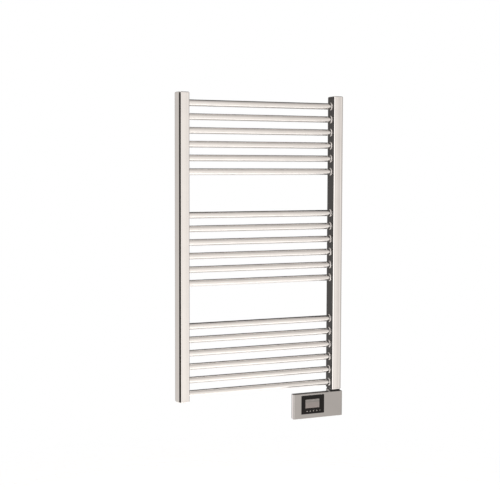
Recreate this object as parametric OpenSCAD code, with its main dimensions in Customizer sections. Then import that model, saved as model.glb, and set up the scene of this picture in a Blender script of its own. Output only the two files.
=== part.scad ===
/* [Rack] */
// Overall width over both uprights
overall_w = 500; // [420:10:700]
// Distance from the foot of the uprights to the lowest bar's axis
bottom_margin = 20; // [19:0.5:40]
// Distance from the highest bar's axis to the top of the uprights
top_margin = 28.5; // [22:0.5:60]
// Distance between neighbouring bar axes inside a group
bar_pitch = 37.5; // [30:0.5:50]
// Distance between the last bar of one group and the first bar of the next
group_gap = 119.5; // [80:0.5:160]

/* [Uprights] */
// Width of the D-section upright, seen from the front
upright_w = 34; // [32:0.5:38]
// Depth of the upright, from wall side to front
upright_d = 44; // [42:0.5:50]
// Wall thickness of the upright
upright_wall = 1.5; // [1:0.1:2]
// Radius of the corners beside the flat inner face
inner_corner_r = 4; // [3.6:0.1:5]
// Radius of the corners beside the crowned outer face
outer_corner_r = 8; // [6:0.5:10]
// How far the outer face is crowned past its corners
outer_crown = 3; // [1.5:0.5:4]
// Thickness of the end caps
cap_t = 5; // [4.5:0.5:8]
// Rounding of the end caps' rims
cap_rim_r = 3; // [1:0.5:3]

/* [Bars] */
// Outside diameter of the crossbars
bar_d = 18; // [14:0.5:20]
// Wall thickness of the crossbars
bar_wall = 1.2; // [0.8:0.1:2]
// Leg of the brazed fillet where a bar meets an upright
braze_leg = 2; // [1:0.5:3.5]

/* [Wall fixing] */
// Vertical distance between the upper and lower threaded inserts
fixing_span_z = 700; // [560:10:720]
// Tapping diameter of the inserts, 6.8 for an M8 thread
fixing_hole_d = 6.8; // [5:0.1:8.5]

/* [Heating element] */
// Length of the element rod above the foot of the upright
element_reach = 520; // [300:10:700]
// Diameter of the element rod
element_d = 10; // [8:0.5:12]
// Thickness of the seal between the upright's foot and the controller
element_seal_t = 4; // [2:0.5:6]

/* [Controller] */
// Height of the controller
unit_h = 72; // [70:1:90]
// Width of the thin head that carries the display
head_w = 123; // [120:1:150]
// Depth of the display head
head_d = 17; // [17:0.5:20]
// How far the controller's front stands in front of the uprights
front_stand = 3; // [2:0.5:5]
// Width of the thick block under the upright
block_w = 31; // [31:0.5:40]
// Wall thickness of the controller housing
shell_t = 2; // [1.6:0.1:2.2]
// Width of the black display window
window_w = 72; // [70:1:76]
// Height of the black display window
window_h = 54; // [53:1:56]
// Width of the liquid crystal display
lcd_w = 44.6; // [36:0.2:46]
// Height of the liquid crystal display
lcd_h = 25.8; // [20:0.2:27]
// Diameter of the five keys
key_d = 6.4; // [5:0.2:7]
// Distance between neighbouring keys
key_pitch = 10.2; // [10:0.1:10.6]
// Travel of a key when it is pressed
key_travel = 0.5; // [0.3:0.1:0.6]

/* [Hidden] */
$fn = 48;

// The row frame: X to the right, Y towards the wall, Z up. The origin is the centre of the four
// fixing inserts, in the plane of the uprights' rear faces.

// Small gaps between pieces that are brazed, pressed or screwed together
joint_gap = 0.1;
touch_gap = 0.05;
// How far cuts run past a face
cut_over = 1;

// Rack
groups = 3;
bars_per_group = 6;
rack_h = bottom_margin + top_margin + groups * (bars_per_group - 1) * bar_pitch
    + (groups - 1) * group_gap;
foot_z = -rack_h / 2;
head_z = rack_h / 2;
inner_x = overall_w / 2 - upright_w;
mid_y = -upright_d / 2;
axis_x = overall_w / 2 - upright_w / 2;
bar_entry = 3;
bar_hole_d = bar_d + 2 * joint_gap;
spigot_h = 4;

// Fixings
insert_d = 14;
insert_l = 13;
insert_thread_l = 11;
plug_z = head_z - 32;
plug_d = 12;
plug_l = 8;
plug_flange_d = 17;
plug_flange_t = 3;
plug_seal_t = 1.5;
plug_hex_d = 5.8;

// Heating element
socket_r = 13;
socket_h = 18;
socket_bore_r = 10.3;
element_thread_r = 10.2;
element_flange_t = 6.4;
element_hex_r = 13.8;
element_seal_inset = 2.5;
element_tail = 9;
pin_r = 1.2;
pin_l = 5;
pin_x = 2.6;
lead_r = 1.1;
lead_spread = 5;
lead_stand = 8;
cutout_gap = 1.5;
cutout_w = 11;
cutout_l = 10;
cutout_t = 5;

// Controller envelope
unit_top = foot_z - element_seal_t;
unit_foot = unit_top - unit_h;
unit_right = overall_w / 2 - 2;
unit_front = -upright_d - front_stand;
block_left = unit_right - block_w;
head_left = block_left - head_w;
head_back = unit_front + head_d;
block_back = -2;
edge_r = 2.5;
top_t = shell_t + 0.5;
cavity_top = unit_top - top_t;
cavity_foot = unit_foot + shell_t;
inside_front = unit_front + shell_t;

// Display window, measured from the head's left and the unit's top
window_left = head_left + 24;
window_top = unit_top - 5;
window_foot = window_top - window_h;
window_lip = 2;
window_lip_t = 1.2;
window_recess = 0.2;
lcd_left = window_left + 12.6;
lcd_foot = window_foot + 16.4;
lcd_recess = 0.5;
lcd_rim = 2.6;
fit_gap = 0.15;

// Keys
key_first_x = window_left + 17.8;
key_z = window_foot + 8;
key_count = 5;
key_front = unit_front - 0.3;
key_flange_r = 4;
key_flange_t = 1;
key_flange_y = inside_front + window_lip_t + 0.35;
key_stem_r = 1.5;
key_stem_l = 1.2;
key_hole_r = key_d / 2 + 0.2;
plunger_r = 1.6;
plunger_y = key_flange_y + key_flange_t + key_stem_l + touch_gap;
plunger_l = 2.2;
switch_w = 6;
switch_h = 3;
switch_hole_r = plunger_r + 0.2;

// Boards
board_t = 1.6;
board_y = inside_front + 7.7;
board_left = head_left + 13;
board_right = head_left + 106;
board_top = unit_top - 5;
board_foot = unit_foot + 5;
board_post_x = [head_left + 18, head_left + 102];
board_post_z = [unit_top - 10, unit_foot + 10];
post_r = 2.75;
pilot_r = 0.95;
board_screw_r = 0.9;
board_hole_r = 1.3;
screw_head_r = 2.3;
screw_head_t = 1.6;
screw_bite = 4;
power_screw_bite = 3;
pilot_spare = 1;
power_y = inside_front + 4;
power_left = block_left + 3;
power_right = unit_right - 3;
power_top = unit_top - 21;
power_foot = unit_foot + 5;
power_post_x = [block_left + 7, unit_right - 7];
power_post_z = power_top - 3.5;
relay_size = [15, 12, 19];
terminal_size = [20, 11, 12];
terminal_pitch = 6.4;
terminal_hole_r = 2;
terminal_top = power_foot + 37;
ribbon_t = 0.8;
ribbon_w = 11;
ribbon_z = unit_foot + 27;

// Back plates and their screws, as [x, z]
plate_t = 3;
plate_edge_r = 1.5;
plate_post_r = 3;
plate_pilot_r = 1.25;
plate_screw_r = 1.2;
plate_hole_r = 1.6;
plate_head_r = 2.6;
plate_head_t = 1.8;
plate_screw_l = 9;
plate_slot_l = 2.8;
plate_slot_w = 0.7;
plate_slot_t = 0.8;
head_rim = head_back - plate_t;
block_rim = block_back - plate_t;
block_post_l = 12;
head_screws = [for (x = [head_left + 7, block_left - 5], z = [unit_top - 6, unit_foot + 6]) [x, z]];
block_screws = [
    [block_left + 6, unit_top - 16], [block_left + 6, unit_foot + 5.5],
    [unit_right - 6, unit_foot + 5.5]
];

// Cord inlet and clamp
inlet_x = (block_left + unit_right) / 2;
inlet_z = unit_foot + 16;
inlet_bore_r = 3.7;
inlet_neck_r = 5.4;
inlet_flange_r = 7.5;
inlet_flange_t = 1.5;
inlet_l = 8;
clamp_y = -15;
clamp_post_x = 7;
clamp_post_r = 2.5;
clamp_z = inlet_z + 3;
clamp_w = 21;
clamp_d = 6;
clamp_t = 3;
clamp_screw_r = 1.1;
clamp_hole_r = 1.4;
clamp_bite = 6;

// Points of an arc in the plane
function arc(c, r, a0, a1, n) =
    [for (i = [0:n]) c + r * [cos(a0 + (a1 - a0) * i / n), sin(a0 + (a1 - a0) * i / n)]];

// Outline of the D-section, inner face at x = 0, drawn smaller by inset
function section_points(inset) =
    let (
        half = upright_d / 2,
        r_in = inner_corner_r - inset,
        r_out = outer_corner_r - inset,
        out_x = upright_w - outer_corner_r - outer_crown,
        out_y = half - outer_corner_r,
        reach = (out_y * out_y - outer_crown * outer_crown) / (2 * outer_crown),
        crown_r = reach + outer_crown + outer_corner_r - inset,
        tilt = atan2(out_y, reach),
        in_y = half - inner_corner_r
    )
    concat(
        arc([inner_corner_r, -in_y], r_in, 180, 270, 6),
        arc([out_x, -out_y], r_out, 270, 360 - tilt, 6),
        arc([out_x - reach, 0], crown_r, -tilt, tilt, 10),
        arc([out_x, out_y], r_out, tilt, 90, 6),
        arc([inner_corner_r, in_y], r_in, 90, 180, 6)
    );

// Points that round the corner b of an outline that runs a, b, c
function corner_points(a, b, c, r, n) =
    let (
        u = (a - b) / norm(a - b),
        v = (c - b) / norm(c - b),
        half = acos(u * v) / 2,
        centre = b + (u + v) / norm(u + v) * r / sin(half),
        p = b + u * r / tan(half) - centre,
        start = atan2(p.y, p.x),
        side = u.x * v.y - u.y * v.x > 0 ? -1 : 1
    )
    [for (i = [0:n]) centre + r * [
        cos(start + side * (180 - 2 * half) * i / n),
        sin(start + side * (180 - 2 * half) * i / n)
    ]];

// Height of bar i, counted from 1 at the bottom
function bar_z(i) =
    let (n = i - 1, jumps = floor(n / bars_per_group))
    foot_z + bottom_margin + (n - jumps) * bar_pitch + jumps * group_gap;

function key_x(i) = key_first_x + (i - 1) * key_pitch;

// Box between two corners
module span(low, high) {
    translate(low) cube(high - low);
}

// Cylinder along Y from y0 to y1
module rod_y(x, z, r, y0, y1) {
    translate([x, y1, z]) rotate([90, 0, 0]) cylinder(r = r, h = y1 - y0);
}

// Straight cylinder between two points
module link(p, q, r) {
    d = q - p;
    translate(p) rotate([0, acos(d.z / norm(d)), atan2(d.y, d.x)]) cylinder(r = r, h = norm(d));
}

// Flat D-section slab on the right-hand side of the rack
module section_slab(z0, z1, inset) {
    translate([inner_x, mid_y, z0])
        linear_extrude(z1 - z0) polygon(section_points(inset));
}

module upright_tube() {
    difference() {
        section_slab(foot_z + cap_t, head_z - cap_t, 0);
        section_slab(foot_z + cap_t - cut_over, head_z - cap_t + cut_over, upright_wall);
        for (i = [1:groups * bars_per_group])
            translate([inner_x - cut_over, mid_y, bar_z(i)]) rotate([0, 90, 0])
                cylinder(d = bar_hole_d, h = upright_wall + 2 * cut_over);
        for (side = [-1, 1])
            rod_y(axis_x, side * fixing_span_z / 2, insert_d / 2 + touch_gap,
                -upright_wall - cut_over, cut_over);
    }
}

module right_upright() {
    color("gainsboro") upright_tube();
}

module left_upright() {
    color("gainsboro") difference() {
        mirror([1, 0, 0]) upright_tube();
        rod_y(-axis_x, plug_z, plug_d / 2 + joint_gap, -upright_wall - cut_over, cut_over);
    }
}

// Rounded end of an upright with its rim towards z1, and the spigot inside the tube
module end_cap(z0, z1) {
    way = sign(z1 - z0);
    straight = z1 - way * cap_rim_r;
    hull() {
        section_slab(min(z0, straight), max(z0, straight), 0);
        for (a = [15:15:90]) {
            z = straight + way * cap_rim_r * sin(a);
            section_slab(min(z, z - way * touch_gap), max(z, z - way * touch_gap),
                cap_rim_r * (1 - cos(a)));
        }
    }
    section_slab(min(z0, z0 - way * spigot_h), max(z0, z0 - way * spigot_h),
        upright_wall + joint_gap);
}

module right_top_cap() {
    color("gainsboro") end_cap(head_z - cap_t, head_z);
}

module left_top_cap() {
    color("gainsboro") mirror([1, 0, 0]) end_cap(head_z - cap_t, head_z);
}

module left_bottom_cap() {
    color("gainsboro") mirror([1, 0, 0]) end_cap(foot_z + cap_t, foot_z);
}

// The foot that the heating element screws into
module right_bottom_cap() {
    color("gainsboro") difference() {
        union() {
            end_cap(foot_z + cap_t, foot_z);
            translate([axis_x, mid_y, foot_z + cap_t]) cylinder(r = socket_r, h = socket_h - cap_t);
        }
        translate([axis_x, mid_y, foot_z - cut_over])
            cylinder(r = socket_bore_r, h = socket_h + 2 * cut_over);
    }
}

module crossbar(i) {
    length = 2 * (inner_x + upright_wall + bar_entry);
    color("whitesmoke") translate([-length / 2, mid_y, bar_z(i)]) rotate([0, 90, 0]) difference() {
        cylinder(d = bar_d, h = length);
        translate([0, 0, -cut_over]) cylinder(d = bar_d - 2 * bar_wall, h = length + 2 * cut_over);
    }
}

// Concave ring of braze metal around each bar, on the right-hand upright
module braze_fillets() {
    r0 = bar_d / 2 + touch_gap;
    for (i = [1:groups * bars_per_group])
        translate([inner_x - touch_gap, mid_y, bar_z(i)]) rotate([0, -90, 0])
            rotate_extrude() polygon(concat(
                [[r0, 0], [r0 + braze_leg, 0]],
                [for (a = [15:15:75]) [r0 + braze_leg * (1 - sin(a)), braze_leg * (1 - cos(a))]],
                [[r0, braze_leg]]
            ));
}

module right_braze_fillets() {
    color("silver") braze_fillets();
}

module left_braze_fillets() {
    color("silver") mirror([1, 0, 0]) braze_fillets();
}

module wall_fixing_inserts() {
    color("darkgray") for (x = [-axis_x, axis_x], side = [-1, 1]) difference() {
        rod_y(x, side * fixing_span_z / 2, insert_d / 2, -insert_l, 0);
        rod_y(x, side * fixing_span_z / 2, fixing_hole_d / 2, -insert_thread_l, cut_over);
    }
}

module fill_plug() {
    color("silver") difference() {
        union() {
            rod_y(-axis_x, plug_z, plug_d / 2, -plug_l, plug_seal_t);
            rod_y(-axis_x, plug_z, plug_flange_d / 2, plug_seal_t, plug_seal_t + plug_flange_t);
        }
        translate([-axis_x, plug_seal_t + plug_flange_t + cut_over, plug_z]) rotate([90, 0, 0])
            cylinder(d = plug_hex_d, h = plug_flange_t + cut_over, $fn = 6);
    }
}

module fill_plug_seal() {
    color("dimgray") difference() {
        rod_y(-axis_x, plug_z, plug_flange_d / 2 - 0.2, 0, plug_seal_t);
        rod_y(-axis_x, plug_z, plug_d / 2 + joint_gap, -cut_over, plug_seal_t + cut_over);
    }
}

module heating_element() {
    tail_z = cavity_top - element_flange_t - element_tail + 2;
    color("slategray") {
        translate([axis_x, mid_y, tail_z])
            cylinder(d = element_d, h = foot_z + element_reach - tail_z);
        translate([axis_x, mid_y, foot_z + element_reach]) sphere(d = element_d);
        for (side = [-1, 1])
            translate([axis_x + side * pin_x, mid_y, tail_z - pin_l])
                cylinder(r = pin_r, h = pin_l);
    }
}

// Threaded plug that carries the rod and clamps the controller to the upright
module element_plug() {
    plug_top = foot_z + socket_h;
    hex_foot = cavity_top - element_flange_t;
    color("goldenrod") translate([axis_x, mid_y, 0]) difference() {
        union() {
            translate([0, 0, hex_foot + 1])
                cylinder(r = element_thread_r, h = plug_top - hex_foot - 1);
            translate([0, 0, hex_foot]) rotate([0, 0, 30])
                cylinder(r = element_hex_r, h = element_flange_t - touch_gap, $fn = 6);
        }
        translate([0, 0, hex_foot - cut_over])
            cylinder(d = element_d + joint_gap, h = plug_top - hex_foot + 2 * cut_over);
    }
}

module element_seal() {
    color("black") difference() {
        section_slab(unit_top, foot_z, element_seal_inset);
        translate([axis_x, mid_y, unit_top - cut_over])
            cylinder(r = element_thread_r + joint_gap, h = element_seal_t + 2 * cut_over);
    }
}

module thermal_cutout() {
    top = cavity_top - element_flange_t - touch_gap;
    rear = mid_y - element_d / 2 - cutout_gap;
    color("ivory") span(
        [axis_x - cutout_w / 2, rear - cutout_l, top - cutout_t],
        [axis_x + cutout_w / 2, rear, top]
    );
}

// Two insulated leads from the element's pins to the terminal block
module element_leads() {
    pins_z = cavity_top - element_flange_t - element_tail + 2 - pin_l;
    color("firebrick") for (side = [-1, 1])
        link([axis_x + side * pin_x, mid_y, pins_z - lead_r],
            [axis_x + side * lead_spread, power_y + lead_stand, terminal_top + lead_r], lead_r);
}

// Plan of the L-shaped housing: a thin head and a thick block, open where the back plates close it
module housing_plan() {
    front_left = [head_left, unit_front];
    front_right = [unit_right, unit_front];
    block_end = [unit_right, block_rim];
    head_end = [head_left, head_rim];
    polygon(concat(
        corner_points(head_end, front_left, front_right, edge_r, 6),
        corner_points(front_left, front_right, block_end, edge_r, 6),
        [block_end, [block_left, block_rim], [block_left, head_rim], head_end]
    ));
}

module housing_posts() {
    for (x = board_post_x, z = board_post_z)
        rod_y(x, z, post_r, inside_front - touch_gap, board_y - touch_gap);
    for (x = power_post_x)
        rod_y(x, power_post_z, post_r, inside_front - touch_gap, power_y - touch_gap);
    for (s = head_screws)
        rod_y(s.x, s.y, plate_post_r, inside_front - touch_gap, head_rim - touch_gap);
    for (s = block_screws) {
        wall_x = s.x < inlet_x ? block_left + shell_t / 2 : unit_right - shell_t / 2;
        rod_y(s.x, s.y, plate_post_r, block_rim - block_post_l, block_rim - touch_gap);
        span([min(s.x, wall_x), block_rim - block_post_l, s.y - plate_post_r],
            [max(s.x, wall_x), block_rim - touch_gap, s.y + plate_post_r]);
    }
    for (side = [-1, 1])
        translate([inlet_x + side * clamp_post_x, clamp_y, cavity_foot - touch_gap])
            cylinder(r = clamp_post_r, h = clamp_z - cavity_foot);
}

module housing_pilots() {
    for (x = board_post_x, z = board_post_z)
        rod_y(x, z, pilot_r, board_y - screw_bite - pilot_spare, board_y + cut_over);
    for (x = power_post_x)
        rod_y(x, power_post_z, pilot_r, power_y - power_screw_bite - pilot_spare / 2,
            power_y + cut_over);
    for (s = head_screws)
        rod_y(s.x, s.y, plate_pilot_r, head_back - plate_screw_l - pilot_spare, head_back);
    for (s = block_screws)
        rod_y(s.x, s.y, plate_pilot_r, block_back - plate_screw_l - pilot_spare, block_back);
    for (side = [-1, 1])
        translate([inlet_x + side * clamp_post_x, clamp_y, clamp_z - clamp_bite - pilot_spare])
            cylinder(r = clamp_screw_r + touch_gap, h = clamp_bite + pilot_spare + cut_over);
}

module controller_housing() {
    color("gainsboro") difference() {
        union() {
            difference() {
                translate([0, 0, unit_foot]) linear_extrude(unit_h) housing_plan();
                span([head_left + shell_t, inside_front, cavity_foot],
                    [block_left + shell_t + touch_gap, head_back + cut_over, cavity_top]);
                span([block_left + shell_t, inside_front, cavity_foot],
                    [unit_right - shell_t, block_back + cut_over, cavity_top]);
            }
            // The step's side wall, from the head's cavity to the block's rear
            span([block_left, head_rim - cut_over, unit_foot], [block_left + shell_t, block_rim, unit_top]);
            housing_posts();
        }
        housing_pilots();
        span([window_left, unit_front - cut_over, window_foot],
            [window_left + window_w, inside_front + cut_over, window_top]);
        translate([axis_x, mid_y, cavity_top - cut_over])
            cylinder(r = element_thread_r + joint_gap, h = top_t + 2 * cut_over);
    }
}

module head_back_plate() {
    rear_left = [head_left, head_back];
    rim_left = [head_left, head_rim + touch_gap];
    step_x = block_left - fit_gap;
    color("dimgray") difference() {
        translate([0, 0, unit_foot]) linear_extrude(unit_h) polygon(concat(
            [rim_left, [step_x, rim_left.y], [step_x, head_back]],
            corner_points([step_x, head_back], rear_left, rim_left, plate_edge_r, 6)
        ));
        for (s = head_screws)
            rod_y(s.x, s.y, plate_hole_r, head_rim - cut_over, head_back + cut_over);
    }
}

module block_back_plate() {
    rear_left = [block_left, block_back];
    rear_right = [unit_right, block_back];
    rim_left = [block_left, block_rim + touch_gap];
    rim_right = [unit_right, rim_left.y];
    color("dimgray") difference() {
        translate([0, 0, unit_foot]) linear_extrude(unit_h) polygon(concat(
            [rim_left, rim_right],
            corner_points(rim_right, rear_right, rear_left, plate_edge_r, 6),
            corner_points(rear_right, rear_left, rim_left, plate_edge_r, 6)
        ));
        for (s = block_screws)
            rod_y(s.x, s.y, plate_hole_r, block_rim - cut_over, block_back + cut_over);
        rod_y(inlet_x, inlet_z, inlet_neck_r + joint_gap, block_rim - cut_over, block_back + cut_over);
    }
}

// Pan-head screw along Y, its head resting on the plane y
module plate_screw(x, z, y) {
    difference() {
        union() {
            rod_y(x, z, plate_head_r, y + touch_gap, y + plate_head_t);
            rod_y(x, z, plate_screw_r, y - plate_screw_l, y + 2 * touch_gap);
        }
        for (turn = [0, 90])
            translate([x, y + plate_head_t, z]) rotate([0, turn, 0])
                cube([plate_slot_l, 2 * plate_slot_t, plate_slot_w], center = true);
    }
}

module back_plate_screws() {
    color("silver") {
        for (s = head_screws) plate_screw(s.x, s.y, head_back);
        for (s = block_screws) plate_screw(s.x, s.y, block_back);
    }
}

module display_window() {
    face = unit_front + window_recess;
    color("black") difference() {
        union() {
            span([window_left + fit_gap, face, window_foot + fit_gap],
                [window_left + window_w - fit_gap, inside_front + 2 * touch_gap, window_top - fit_gap]);
            span([window_left - window_lip, inside_front + touch_gap, window_foot - window_lip],
                [window_left + window_w + window_lip, inside_front + window_lip_t,
                    window_top + window_lip - fit_gap]);
        }
        span([lcd_left, face - cut_over, lcd_foot],
            [lcd_left + lcd_w, inside_front + window_lip_t + cut_over, lcd_foot + lcd_h]);
        for (i = [1:key_count])
            rod_y(key_x(i), key_z, key_hole_r, face - cut_over, inside_front + window_lip_t + cut_over);
    }
}

module lcd_module() {
    face = unit_front + window_recess + lcd_recess;
    back = inside_front + window_lip_t + touch_gap;
    color("darkgray") {
        span([lcd_left + fit_gap, face, lcd_foot + fit_gap],
            [lcd_left + lcd_w - fit_gap, back + touch_gap, lcd_foot + lcd_h - fit_gap]);
        span([lcd_left - lcd_rim, back, lcd_foot - lcd_rim],
            [lcd_left + lcd_w + lcd_rim, board_y - touch_gap, lcd_foot + lcd_h + lcd_rim]);
    }
}

module control_board() {
    color("darkgreen") difference() {
        span([board_left, board_y, board_foot], [board_right, board_y + board_t, board_top]);
        for (x = board_post_x, z = board_post_z)
            rod_y(x, z, board_hole_r, board_y - cut_over, board_y + board_t + cut_over);
    }
}

module power_board() {
    color("darkgreen") difference() {
        span([power_left, power_y, power_foot], [power_right, power_y + board_t, power_top]);
        for (x = power_post_x)
            rod_y(x, power_post_z, board_hole_r, power_y - cut_over, power_y + board_t + cut_over);
    }
}

module board_screw(x, z, y, bite) {
    rod_y(x, z, screw_head_r, y + touch_gap, y + screw_head_t);
    rod_y(x, z, board_screw_r, y - board_t - bite, y + 2 * touch_gap);
}

module board_screws() {
    color("silver") {
        for (x = board_post_x, z = board_post_z) board_screw(x, z, board_y + board_t, screw_bite);
        for (x = power_post_x) board_screw(x, power_post_z, power_y + board_t, power_screw_bite);
    }
}

module relay() {
    low = [power_left + 2, power_y + board_t + touch_gap, power_foot + 2];
    color("steelblue") span(low, low + relay_size);
}

module terminal_block() {
    low = [axis_x - terminal_size.x / 2, power_y + board_t + touch_gap, terminal_top - terminal_size.z];
    color("ivory") difference() {
        span(low, low + terminal_size);
        for (i = [-1:1])
            rod_y(axis_x + i * terminal_pitch, low.z + terminal_size.z / 2, terminal_hole_r,
                low.y + terminal_size.y / 2, low.y + terminal_size.y + cut_over);
    }
}

// Flat cable from the control board round to the power board
module board_ribbon() {
    start = board_y + board_t + touch_gap;
    stop = power_y + board_t + touch_gap;
    rear = start + 2 * ribbon_t;
    x0 = board_right - 12;
    x1 = power_left + 1;
    color("lightgray") translate([0, 0, ribbon_z]) linear_extrude(ribbon_w) polygon([
        [x0, start], [x0, rear], [x1 + ribbon_t, rear], [x1 + ribbon_t, stop],
        [x1, stop], [x1, rear - ribbon_t], [x0 + ribbon_t, rear - ribbon_t], [x0 + ribbon_t, start]
    ]);
}

// Soft grommet that the cord passes through
module inlet_bush() {
    color("black") difference() {
        union() {
            rod_y(inlet_x, inlet_z, inlet_flange_r, block_back + touch_gap,
                block_back + inlet_flange_t);
            rod_y(inlet_x, inlet_z, inlet_neck_r, block_back + inlet_flange_t - inlet_l,
                block_back + 2 * touch_gap);
        }
        rod_y(inlet_x, inlet_z, inlet_bore_r, block_back + inlet_flange_t - inlet_l - cut_over,
            block_back + inlet_flange_t + cut_over);
    }
}

module cord_clamp() {
    color("ivory") difference() {
        span([inlet_x - clamp_w / 2, clamp_y - clamp_d / 2, clamp_z],
            [inlet_x + clamp_w / 2, clamp_y + clamp_d / 2, clamp_z + clamp_t]);
        for (side = [-1, 1])
            translate([inlet_x + side * clamp_post_x, clamp_y, clamp_z - cut_over])
                cylinder(r = clamp_hole_r, h = clamp_t + 2 * cut_over);
    }
}

module cord_clamp_screws() {
    color("silver") for (side = [-1, 1]) translate([inlet_x + side * clamp_post_x, clamp_y, 0]) {
        translate([0, 0, clamp_z + clamp_t + touch_gap]) cylinder(r = screw_head_r, h = screw_head_t);
        translate([0, 0, clamp_z - clamp_bite])
            cylinder(r = clamp_screw_r, h = clamp_bite + clamp_t + 2 * touch_gap);
    }
}

// One key: the cap that shows, the flange that keeps it in, and the stem
module key(i) {
    color("black") {
        rod_y(key_x(i), key_z, key_d / 2, key_front, key_flange_y + touch_gap);
        rod_y(key_x(i), key_z, key_flange_r, key_flange_y, key_flange_y + key_flange_t);
        rod_y(key_x(i), key_z, key_stem_r, key_flange_y + key_flange_t - touch_gap,
            key_flange_y + key_flange_t + key_stem_l);
    }
}

// The moving core of a switch
module plunger(i) {
    color("gray") rod_y(key_x(i), key_z, plunger_r, plunger_y, plunger_y + plunger_l);
}

module switch_bodies() {
    front = board_y - touch_gap - switch_h;
    color("dimgray") for (i = [1:key_count]) difference() {
        span([key_x(i) - switch_w / 2, front, key_z - switch_w / 2],
            [key_x(i) + switch_w / 2, board_y - touch_gap, key_z + switch_w / 2]);
        rod_y(key_x(i), key_z, switch_hole_r, front - cut_over,
            plunger_y + plunger_l + key_travel + 0.2);
    }
}

left_upright();
right_upright();
left_top_cap();
right_top_cap();
left_bottom_cap();
right_bottom_cap();
crossbar(1);  // crossbar_01
crossbar(2);  // crossbar_02
crossbar(3);  // crossbar_03
crossbar(4);  // crossbar_04
crossbar(5);  // crossbar_05
crossbar(6);  // crossbar_06
crossbar(7);  // crossbar_07
crossbar(8);  // crossbar_08
crossbar(9);  // crossbar_09
crossbar(10);  // crossbar_10
crossbar(11);  // crossbar_11
crossbar(12);  // crossbar_12
crossbar(13);  // crossbar_13
crossbar(14);  // crossbar_14
crossbar(15);  // crossbar_15
crossbar(16);  // crossbar_16
crossbar(17);  // crossbar_17
crossbar(18);  // crossbar_18
left_braze_fillets();
right_braze_fillets();
wall_fixing_inserts();
fill_plug();
fill_plug_seal();
heating_element();
element_plug();
element_seal();
thermal_cutout();
element_leads();
controller_housing();
head_back_plate();
block_back_plate();
back_plate_screws();
display_window();
lcd_module();
control_board();
power_board();
board_screws();
relay();
terminal_block();
board_ribbon();
inlet_bush();
cord_clamp();
cord_clamp_screws();
key(1);  // power_key
key(2);  // timer_key
key(3);  // down_key
key(4);  // up_key
key(5);  // mode_key
plunger(1);  // power_plunger
plunger(2);  // timer_plunger
plunger(3);  // down_plunger
plunger(4);  // up_plunger
plunger(5);  // mode_plunger
switch_bodies();
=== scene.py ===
"""Looks for the towel warmer rack: detailed chrome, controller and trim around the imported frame."""

import math

import bmesh
import bpy
from mathutils import Matrix, Vector


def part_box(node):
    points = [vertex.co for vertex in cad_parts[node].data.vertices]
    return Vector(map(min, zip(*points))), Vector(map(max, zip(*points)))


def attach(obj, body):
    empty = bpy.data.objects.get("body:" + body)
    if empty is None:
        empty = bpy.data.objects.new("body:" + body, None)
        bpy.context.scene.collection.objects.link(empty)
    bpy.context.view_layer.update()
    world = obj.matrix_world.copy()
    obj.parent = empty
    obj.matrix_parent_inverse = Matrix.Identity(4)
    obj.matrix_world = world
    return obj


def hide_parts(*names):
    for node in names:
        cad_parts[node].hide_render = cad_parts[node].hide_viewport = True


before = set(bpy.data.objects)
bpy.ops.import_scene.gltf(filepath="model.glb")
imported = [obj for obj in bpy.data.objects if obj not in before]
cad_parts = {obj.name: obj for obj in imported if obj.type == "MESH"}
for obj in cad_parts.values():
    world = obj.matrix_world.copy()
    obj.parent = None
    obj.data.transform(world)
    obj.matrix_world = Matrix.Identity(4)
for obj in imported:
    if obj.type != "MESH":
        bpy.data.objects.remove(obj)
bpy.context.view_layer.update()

MM = 0.001
KEYS = ("power", "timer", "down", "up", "mode")
BARS = ["crossbar_%02d" % i for i in range(1, 19)]


# ---------------------------------------------------------------- materials


def new_material(name):
    """A material with its Principled shader and a small node helper."""
    mat = bpy.data.materials.new(name)
    mat.use_nodes = True
    return mat, mat.node_tree, mat.node_tree.nodes["Principled BSDF"]


def add(tree, kind, **values):
    """A node of this kind; keywords set its properties, or its inputs where the name is one."""
    node = tree.nodes.new(kind)
    for key, value in values.items():
        if key in node.inputs:
            node.inputs[key].default_value = value
        else:
            setattr(node, key, value)
    return node


def noise(tree, scale, detail=3.0, rough=0.5, stretch=None):
    """Noise in the row frame, in features per metre, drawn out along an axis by stretch."""
    place = add(tree, "ShaderNodeTexCoord")
    out = add(tree, "ShaderNodeTexNoise", Scale=scale, Detail=detail, Roughness=rough)
    source = place.outputs["Object"]
    if stretch:
        mapping = add(tree, "ShaderNodeMapping", Scale=stretch)
        tree.links.new(source, mapping.inputs["Vector"])
        source = mapping.outputs["Vector"]
    tree.links.new(source, out.inputs["Vector"])
    return out.outputs["Fac"]


def ramp(tree, source, stops):
    """Colour ramp over (position, colour) stops."""
    node = add(tree, "ShaderNodeValToRGB")
    elements = node.color_ramp.elements
    while len(elements) < len(stops):
        elements.new(0.5)
    for element, (place, colour) in zip(elements, stops):
        element.position = place
        element.color = (*colour, 1.0)
    tree.links.new(source, node.inputs["Fac"])
    return node.outputs["Color"]


def remap(tree, source, span, onto, easing="LINEAR"):
    """The source's span mapped onto another; SMOOTHSTEP easing rounds off both ends."""
    node = add(tree, "ShaderNodeMapRange", interpolation_type=easing)
    for key, value in zip(("From Min", "From Max", "To Min", "To Max"), (*span, *onto)):
        node.inputs[key].default_value = value
    tree.links.new(source, node.inputs["Value"])
    return node.outputs["Result"]


def span_map(tree, source, low, high):
    """The source's 0.3 to 0.7, where noise mostly lies, stretched over low to high."""
    return remap(tree, source, (0.3, 0.7), (low, high))


def bump(tree, shader, source, strength, distance):
    """A bump of this height, in metres, on the shader's normal."""
    node = add(tree, "ShaderNodeBump", Strength=strength, Distance=distance)
    tree.links.new(source, node.inputs["Height"])
    tree.links.new(node.outputs["Normal"], shader.inputs["Normal"])


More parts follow.
